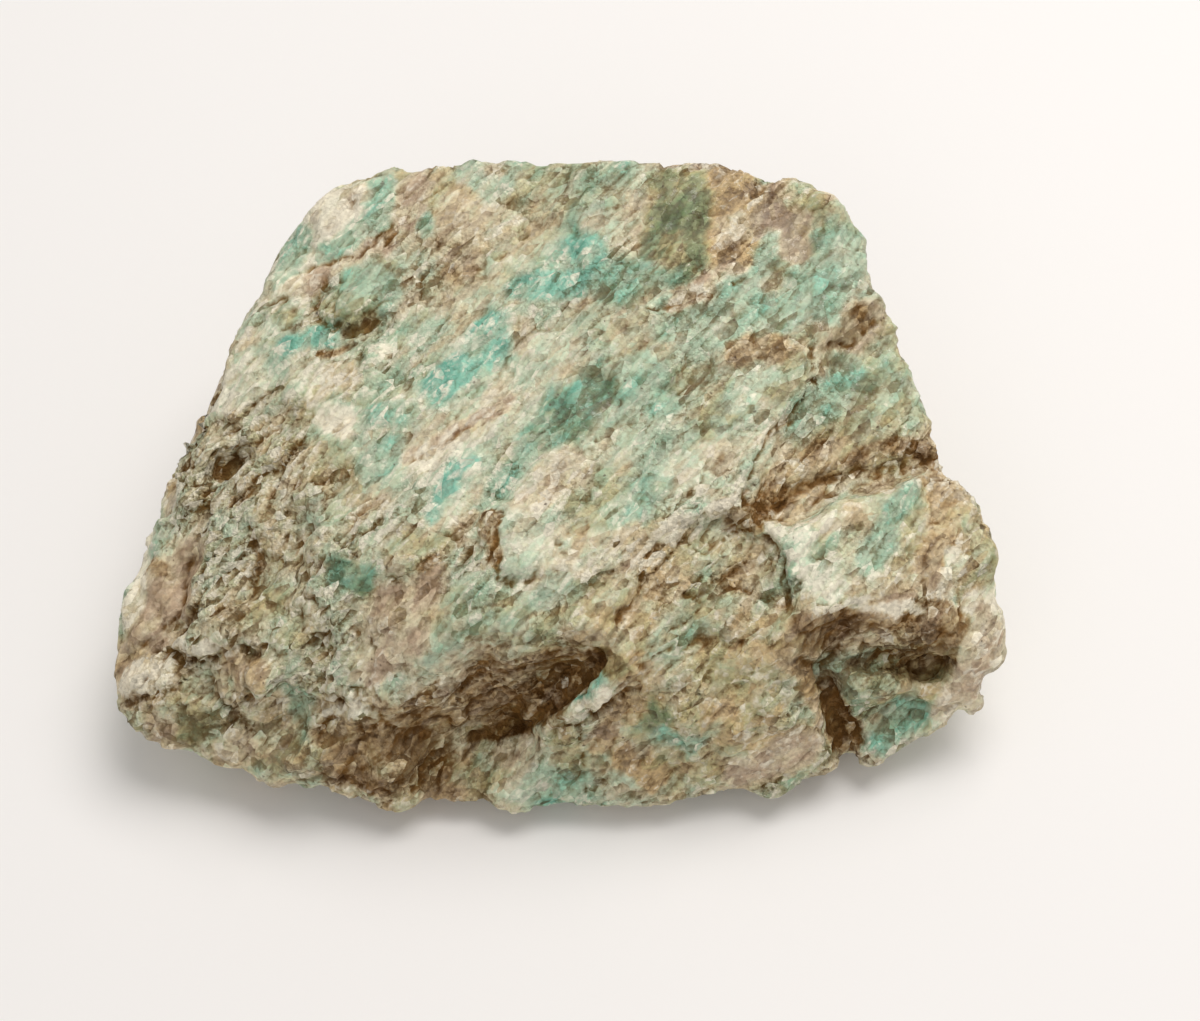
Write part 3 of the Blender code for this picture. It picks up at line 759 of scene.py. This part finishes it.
def nearness(uneven, sight, pixels, reach):
    """1 on the route through the pixels, falling to 0 at the reach and below it farther out."""
    return 1 - distance_to_route(uneven, uneven_borders(sight.route(pixels))) / reach


def paint(fields, kind, share):
    """Brings every field towards what the kind of mark says, by the share."""
    for name, target in zip(fields, KINDS[kind]):
        fields[name] = fields[name] * (1 - share) + target * share


def where_crumbled(fields, strength):
    """A relief's strength: the first number on sound stone, and more where it is crumbled."""
    sound, added = strength
    return sound + added * fields["crumbled"]


def relief(points, normals, fields, settings):
    """The points with ledges, grains, crumbs, swells and ripples, each grain's die, and the seams."""
    turned = drawn_out(points, LEDGE_STRETCH)
    level = layered(turned, *LEDGE_WAVES) * settings.ledges
    slope = level - np.floor(level)
    height = settings.ledge_height / MM * (ramp(slope, LEDGE_BRINK, 1) - slope + LEDGE_TOP)

    drawn = drawn_out(wandered(points, *GRAIN_WANDER), GRAIN_STRETCH)
    dice, place, border = grains(drawn, settings.grain_size / MM, GRAIN_SEED)
    tilt = np.clip((place * dice).sum(axis=1), -STEEPEST_GRAIN, STEEPEST_GRAIN)
    seam = 1 - ramp(border, 0, SEAM_WIDTH)
    grain_rise = settings.grain_rise / MM
    height += grain_rise * where_crumbled(fields, GRAIN_STRENGTH) * (dice[:, 0] + GRAIN_TILT * tilt)
    height -= grain_rise * seam * where_crumbled(fields, SEAM_STRENGTH)

    crumb_dice, crumb_place, _ = grains(points, settings.crumb_size / MM, CRUMB_SEED)
    crumb = crumb_dice[:, 0] + CRUMB_TILT * (crumb_place * crumb_dice).sum(axis=1)
    height += settings.crumb_rise / MM * crumb * where_crumbled(fields, CRUMB_STRENGTH)
    height += SWELL_HEIGHT * layered(points, *SWELL_WAVES) * where_crumbled(fields, SWELL_STRENGTH)
    height += RIPPLE_HEIGHT * layered(turned, *RIPPLE_WAVES)
    height = np.clip(height, *RELIEF_RANGE) * (1 - SMOOTH_LOSS * fields["smooth"])
    return points + height[:, None] * normals, dice[:, 1] * 0.5 + 0.5, seam


def cracked(points, normals, sight):
    """The points with the cracks cut and the ribs raised, and how near a crack's middle each is."""
    dark = np.zeros(len(points))
    uneven = uneven_borders(points)
    for width, depth, *pixels in CRACKS.values():
        near = np.clip(nearness(uneven, sight, pixels, width), 0, 1)
        if depth > 0:
            dark = np.maximum(dark, near)
        else:
            near = ramp(near, 0, 1)
        points = points - (depth * near)[:, None] * normals
    return points, dark


def gather_dirt_and_shade(fields, points, normals, edges, seam, dark):
    """Brown staining and painted shade in the hollows, dirt in the seams and the cracks, and painted
    shade, less light, in the small hollows.
    """
    for field, rounds, depths, strength in HOLLOWS:
        hollow = ((evened(points, edges, rounds) - points) * normals).sum(axis=1)
        fields[field] += strength * np.clip(hollow, *depths)
    fields["dirt_and_shade"] += SEAM_DIRT * seam * (SOUND_SEAM + fields["crumbled"]) + CRACK_DIRT * dark


class Shader:
    """Short calls for the nodes of one material."""

    def __init__(self, name):
        self.material = bpy.data.materials.new(name)
        self.material.use_nodes = True
        self.tree = self.material.node_tree
        self.tree.nodes.clear()
        self.surface = self.add("ShaderNodeBsdfPrincipled")
        output = self.add("ShaderNodeOutputMaterial")
        self.tree.links.new(self.surface.outputs["BSDF"], output.inputs["Surface"])

    def add(self, kind, **settings):
        node = self.tree.nodes.new(kind)
        for name, value in settings.items():
            setattr(node, name, value)
        return node

    def put(self, value, socket):
        if isinstance(value, bpy.types.NodeSocket):
            self.tree.links.new(value, socket)
        else:
            socket.default_value = value

    def place(self, turn=0.0, stretch=1.0):
        """Object coordinates in millimetres, drawn out along a direction in plan."""
        coordinates = self.add("ShaderNodeTexCoord").outputs["Object"]
        mapping = self.add("ShaderNodeMapping", vector_type="TEXTURE")
        self.put(coordinates, mapping.inputs["Vector"])
        mapping.inputs["Rotation"].default_value = (0, 0, turn)
        mapping.inputs["Scale"].default_value = (stretch * MM, MM, MM)
        return mapping.outputs["Vector"]

    def noise(self, place, size, detail=2.0, output="Fac"):
        node = self.add("ShaderNodeTexNoise")
        self.put(place, node.inputs["Vector"])
        node.inputs["Scale"].default_value = 1 / size
        node.inputs["Detail"].default_value = detail
        return node.outputs[output]

    def cells(self, place, size):
        """Cells around scattered middles: their dice, their middles and how far these are."""
        node = self.add("ShaderNodeTexVoronoi")
        self.put(place, node.inputs["Vector"])
        node.inputs["Scale"].default_value = 1 / size
        return node.outputs

    def facets(self, name, place, size):
        """Flat tilted facets: the three dice of each, and their height in millimetres."""
        cells = self.cells(place, size)
        gap = self.vector_math("SUBTRACT", place, cells["Position"])
        tilt = self.vector_math("SUBTRACT", cells["Color"], (0.5, 0.5, 0.5))
        patterns = {f"{name} height": self.vector_math("DOT_PRODUCT", gap, tilt, output="Value")}
        dice = self.add("ShaderNodeSeparateColor")
        self.put(cells["Color"], dice.inputs["Color"])
        for die in ("Red", "Green", "Blue"):
            patterns[f"{name} {die}"] = dice.outputs[die]
        return patterns

    def math(self, operation, *values, kind="ShaderNodeMath", output="Value"):
        node = self.add(kind, operation=operation)
        for value, socket in zip(values, node.inputs):
            self.put(value, socket)
        return node.outputs[output]

    def vector_math(self, operation, *values, output="Vector"):
        return self.math(operation, *values, kind="ShaderNodeVectorMath", output=output)

    def wander(self, place, size, reach):
        """The place moved about by noise, for uneven borders."""
        moves = self.noise(place, size, output="Color")
        return self.vector_math("MULTIPLY_ADD", moves, (reach, reach, reach), place)

    def field(self, name):
        return self.add("ShaderNodeAttribute", attribute_name=name).outputs["Fac"]

    def times(self, value, factor):
        return self.math("MULTIPLY", value, factor)

    def plus(self, base, value, factor):
        """The base and the value times the factor."""
        return self.math("MULTIPLY_ADD", value, factor, base)

    def swayed(self, base, patterns, sways):
        """The base, moved up or down by how far each pattern is from one half."""
        for name, strength in sways.items():
            base = self.math("ADD", base, self.plus(-0.5 * strength, patterns[name], strength))
        return base

    def rise(self, value, low, high):
        """0 at low, 1 at high, smooth between."""
        node = self.add("ShaderNodeMapRange", interpolation_type="SMOOTHSTEP")
        self.put(value, node.inputs["Value"])
        node.inputs["From Min"].default_value = low
        node.inputs["From Max"].default_value = high
        return node.outputs["Result"]

    def cover(self, value, begin, full, most):
        """0 at the begin, the most at the full, smooth between."""
        return self.times(self.rise(value, begin, full), most)

    def mix(self, share, a, b, blend="MIX"):
        node = self.add("ShaderNodeMix", data_type="RGBA", blend_type=blend)
        self.put(share, node.inputs["Factor"])
        self.put(a, node.inputs["A"])
        self.put(b, node.inputs["B"])
        return node.outputs["Result"]

    def tinted(self, colour, tint):
        return self.mix(1.0, colour, tint, "MULTIPLY")

    def green_band(self, green, colours):
        """The colour for each green, through the colours at the green stops."""
        node = self.add("ShaderNodeValToRGB")
        elements = node.color_ramp.elements
        for stop in GREEN_STOPS[1:-1]:
            elements.new(stop)
        for element, colour in zip(elements, colours):
            element.color = (*colour, 1)
        self.put(green, node.inputs["Fac"])
        return node.outputs["Color"]

    def bump(self, height):
        """The surface normal for a height in millimetres."""
        node = self.add("ShaderNodeBump")
        node.inputs["Strength"].default_value = 1.0
        node.inputs["Distance"].default_value = MM
        self.put(height, node.inputs["Height"])
        return node.outputs["Normal"]


def material_patterns(shader):
    """The patterns that the stone's material is made of, by name."""
    flat = shader.place()
    drawn = shader.place(LAMINATION_TURN, DRAWN_STRETCH)
    places = {
        "flat": flat,
        "ragged": shader.wander(flat, *RAGGED_WANDER),
        "drawn": shader.wander(drawn, *DRAWN_WANDER),
        "fibres": shader.place(FIBRE_TURN, FIBRE_STRETCH),
    }
    patterns = {"grain": shader.field("grain")}
    for name, (place, size, detail) in NOISES.items():
        patterns[name] = shader.noise(places[place], size, detail)
    patterns.update(shader.facets("facet", shader.place(LAMINATION_TURN, FACET_STRETCH), FACET_SIZE))
    patterns.update(shader.facets("small facet", flat, SMALL_FACET_SIZE))
    patterns["speck distance"] = shader.cells(places["ragged"], SPECK_SPACING)["Distance"]
    return patterns


def fine_height(shader, patterns):
    """The height of the material's fine relief in millimetres."""
    rough = shader.plus(ROUGH_LEAST, shader.rise(patterns["rough areas"], *ROUGH_RANGE), ROUGH_ADDED)
    rough = shader.plus(rough, shader.field("crumbled"), CRUMBLED_ADDED)
    rough = shader.times(rough, shader.plus(1.0, shader.field("smooth"), -SMOOTH_LOST))
    height = 0.0
    for name, factor in HEIGHTS.items():
        height = shader.plus(height, patterns[name], factor)
    return shader.times(shader.math("SUBTRACT", height, MEAN_HEIGHT), rough)


def mineral_colour(shader, patterns, settings):
    """The colour of sound mineral, from its green and its warmth."""
    green = shader.swayed(shader.field("green"), patterns, GREEN_SWAYS)
    warm = shader.swayed(shader.field("warm"), patterns, WARM_SWAYS)
    cool_colour = shader.green_band(green, (
        settings.rose, settings.cream, settings.pale_mint,
        settings.mint, settings.turquoise, settings.deep_turquoise,
    ))
    warm_colour = shader.green_band(green, (
        settings.tan, settings.ochre, settings.straw,
        settings.grey_green, settings.olive, settings.deep_olive,
    ))
    return shader.mix(shader.rise(warm, *WARM_RANGE), cool_colour, warm_colour)


def stone_material(settings):
    """The minerals, their grain and their stains, with painted shade and painted highlights."""
    shader = Shader("amazonite_minerals")
    patterns = material_patterns(shader)
    height = fine_height(shader, patterns)
    colour = mineral_colour(shader, patterns, settings)

    # Painted shade and highlights: the light field, raised by the fine relief, darkens the colour with the
    # shade tint where low and whitens it where high; it also holds the mineral's own lightness
    light = shader.swayed(shader.field("light"), patterns, LIGHT_SWAYS)
    light = shader.plus(light, height, HEIGHT_LIGHT)
    shaded = shader.tinted(colour, SHADE_TINT)
    colour = shader.mix(shader.cover(light, *SHADE_COVER), colour, shaded)
    colour = shader.mix(shader.cover(light, *WHITE_COVER), colour, (*settings.white, 1))

    # Dirt and painted shade: brown fill where the stone is stained, and where hollows and low relief are
    # painted darker
    dirt_and_shade = shader.swayed(shader.field("dirt_and_shade"), patterns, DIRT_SWAYS)
    dirt_and_shade = shader.cover(shader.plus(dirt_and_shade, height, -HEIGHT_DIRT_AND_SHADE), *DIRT_AND_SHADE_COVER)
    stained = shader.rise(patterns["blotch"], *STAIN_RANGE)
    fill = shader.mix(stained, (*settings.soil, 1), (*settings.stain, 1))
    dirt_and_shade_colour = shader.mix(TINTED_SHARE, fill, shader.tinted(colour, (*settings.tint, 1)))
    colour = shader.mix(dirt_and_shade, colour, dirt_and_shade_colour)
    colour = shader.tinted(colour, shader.swayed(1.0, patterns, BRIGHTNESS_SWAYS))

    specked = shader.rise(patterns["specked areas"], *SPECKED_RANGE)
    speck = shader.times(shader.rise(patterns["speck distance"], *SPECK_RANGE), specked)
    colour = shader.mix(shader.times(speck, SPECK_COVER), colour, (*settings.soil, 1))

    glint = shader.rise(patterns["small facet Green"], *GLINT_RANGE)
    roughness = shader.plus(PLAIN_ROUGHNESS, shader.field("smooth"), -SMOOTH_POLISH)
    surface = shader.surface.inputs
    shader.put(colour, surface["Base Color"])
    shader.put(shader.plus(roughness, glint, -GLINT_POLISH), surface["Roughness"])
    shader.put(shader.plus(SPECULAR, dirt_and_shade, -SPECULAR), surface["Specular IOR Level"])
    shader.put(shader.bump(height), surface["Normal"])
    return shader.material


def floor_material(colour):
    shader = Shader("floor_paint")
    shader.surface.inputs["Base Color"].default_value = (*colour, 1)
    shader.surface.inputs["Roughness"].default_value = FLOOR_ROUGHNESS
    return shader.material


def number(name, description, default, **unit):
    return FloatProperty(name=name, description=description, default=default, **unit)


def length(name, description, default):
    return number(name, description, default, unit="LENGTH", precision=5)


def colour(name, description, default):
    return FloatVectorProperty(name=name, description=description, default=default, subtype="COLOR")


class StoneSettings(bpy.types.PropertyGroup):
    grid: length("Grid", "Side of the stone's small faces", 0.00074)
    evening: IntProperty(name="Evening", description="Rounds that take the solid's facets off", default=5)
    ledge_height: length("Ledge height", "Height of the ledges along the lamination", 0.0006)
    ledges: number("Ledges", "Ledges in one wave of the surface", 2.2)
    grain_size: length("Grain size", "Size of the mineral grains", 0.0054)
    grain_rise: length("Grain relief", "How far grains stand above each other", 0.00034)
    crumb_size: length("Crumb size", "Size of the crumbs on the weak parts", 0.0023)
    crumb_rise: length("Crumb relief", "How far the crumbs stand above each other", 0.00017)
    rose: colour("Rose", "Cool stone without green", (0.515, 0.381, 0.254))
    cream: colour("Cream", "Pale cool stone", (0.665, 0.59, 0.396))
    pale_mint: colour("Pale mint", "Palest green", (0.527, 0.604, 0.434))
    mint: colour("Mint", "Usual green", (0.371, 0.515, 0.361))
    turquoise: colour("Turquoise", "Strong cool green", (0.246, 0.527, 0.392))
    deep_turquoise: colour("Deep turquoise", "Strongest cool green", (0.138, 0.381, 0.279))
    tan: colour("Tan", "Warm stone without green", (0.352, 0.238, 0.122))
    ochre: colour("Ochre", "Pale warm stone", (0.578, 0.413, 0.202))
    straw: colour("Straw", "Pale warm green", (0.527, 0.456, 0.223))
    grey_green: colour("Grey green", "Usual warm green", (0.323, 0.342, 0.175))
    olive: colour("Olive", "Strong warm green", (0.195, 0.254, 0.117))
    deep_olive: colour("Deep olive", "Strongest warm green", (0.117, 0.168, 0.072))
    white: colour("White", "Fresh breaks", (0.871, 0.807, 0.644))
    # Stain, tint and soil colour both the stains and the painted shade in hollows and low relief
    stain: colour("Stain", "Brown staining", (0.262, 0.127, 0.033))
    tint: colour("Tint", "What stained stone keeps of its colour", (0.42, 0.27, 0.13))
    soil: colour("Soil", "Dark fill of the cracks", (0.056, 0.023, 0.005))


class StageSettings(bpy.types.PropertyGroup):
    floor_size: length("Floor", "Side of the floor", 4.0)
    floor_colour: colour("Floor colour", "Colour of the floor", (0.9, 0.885, 0.87))
    main_power: number("Main light", "Power of the light behind on the right", 9.9, unit="POWER")
    fill_power: number("Fill light", "Power of the light in front", 0.8, unit="POWER")
    sky_strength: number("Surroundings", "Light from all around", 0.46)


class AMAZONITE_OT_stone(bpy.types.Operator):
    """Makes the stone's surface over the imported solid"""
    bl_idname = "amazonite.stone"
    bl_label = "Stone"

    def execute(self, context):
        settings = context.scene.amazonite_stone
        stone = copy_of_node("amazonite", "stone_surface")
        even_grid(stone, settings.grid)
        mesh = stone.data
        edges = read(mesh.edges, "vertices", np.int32, 2)
        write_points(mesh, worn(evened(read_points(mesh), edges, settings.evening), edges, mesh))
        sight = Sight(stone)
        points, normals = read_points(mesh), read_normals(mesh)
        fields = mineral_fields(points, sight)
        points, grain, seam = relief(points, normals, fields, settings)
        points, dark = cracked(points, normals, sight)
        points[:, 2] = np.maximum(points[:, 2], 0)
        write_points(mesh, points)

        gather_dirt_and_shade(fields, points, read_normals(mesh), edges, seam, dark)
        for name, values in fields.items():
            write_field(mesh, name, values)
        write_field(mesh, "grain", grain)
        mesh.materials.clear()
        mesh.materials.append(stone_material(settings))
        mesh.shade_smooth()
        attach(stone, STONE_BODY)
        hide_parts("amazonite")
        return {"FINISHED"}


class AMAZONITE_OT_stage(bpy.types.Operator):
    """Makes the floor, the lights and the camera"""
    bl_idname = "amazonite.stage"
    bl_label = "Stage"

    def execute(self, context):
        settings = context.scene.amazonite_stage
        make_floor(settings)
        make_light("main_light", MAIN_LIGHT_PLACE, MAIN_LIGHT_SIZE, settings.main_power)
        make_light("fill_light", FILL_LIGHT_PLACE, FILL_LIGHT_SIZE, settings.fill_power)
        make_surroundings(settings.sky_strength)
        make_camera()
        context.scene.view_settings.view_transform = "Standard"
        return {"FINISHED"}


def make_floor(settings):
    bm = bmesh.new()
    bmesh.ops.create_grid(bm, x_segments=1, y_segments=1, size=settings.floor_size / 2)
    mesh = bpy.data.meshes.new("floor")
    bm.to_mesh(mesh)
    bm.free()
    mesh.materials.append(floor_material(settings.floor_colour))
    floor = bpy.data.objects.new("floor", mesh)
    bpy.context.scene.collection.objects.link(floor)


def make_light(name, place, size, power):
    """A square soft light that faces the stone."""
    lamp = bpy.data.lights.new(name, "AREA")
    lamp.color = LIGHT_COLOUR
    lamp.size = size
    lamp.energy = power
    light = bpy.data.objects.new(name, lamp)
    light.location = place
    light.rotation_euler = (-Vector(place)).to_track_quat("-Z", "Y").to_euler()
    bpy.context.scene.collection.objects.link(light)


def make_surroundings(strength):
    world = bpy.data.worlds.new("surroundings")
    world.use_nodes = True
    background = world.node_tree.nodes["Background"]
    background.inputs["Color"].default_value = SURROUNDINGS_COLOUR
    background.inputs["Strength"].default_value = strength
    bpy.context.scene.world = world


def make_camera():
    lens = bpy.data.cameras.new("camera")
    lens.lens = CAMERA_LENS
    lens.sensor_width = SENSOR_WIDTH
    lens.clip_start = CAMERA_NEAR
    camera = bpy.data.objects.new("camera", lens)
    turn = Matrix(camera_axes()).transposed().to_4x4()
    camera.matrix_world = Matrix.Translation(CAMERA_PLACE) @ turn
    bpy.context.scene.collection.objects.link(camera)
    bpy.context.scene.camera = camera


class AMAZONITE_PT_panel(bpy.types.Panel):
    """Lists the stone and the stage"""
    bl_label = "Rough amazonite"
    bl_idname = "AMAZONITE_PT_panel"
    bl_space_type = "VIEW_3D"
    bl_region_type = "UI"
    bl_category = "Amazonite"

    def draw(self, context):
        for settings, operator in (
            (context.scene.amazonite_stone, AMAZONITE_OT_stone),
            (context.scene.amazonite_stage, AMAZONITE_OT_stage),
        ):
            box = self.layout.box()
            for name in settings.__annotations__:
                box.prop(settings, name)
            box.operator(operator.bl_idname)


CLASSES = (StoneSettings, StageSettings, AMAZONITE_OT_stone, AMAZONITE_OT_stage, AMAZONITE_PT_panel)


def register():
    for entry in CLASSES:
        bpy.utils.register_class(entry)
    bpy.types.Scene.amazonite_stone = PointerProperty(type=StoneSettings)
    bpy.types.Scene.amazonite_stage = PointerProperty(type=StageSettings)


def unregister():
    del bpy.types.Scene.amazonite_stage
    del bpy.types.Scene.amazonite_stone
    for entry in reversed(CLASSES):
        bpy.utils.unregister_class(entry)


def main():
    register()
    bpy.ops.amazonite.stone()
    bpy.ops.amazonite.stage()


if __name__ == "__main__":
    main()
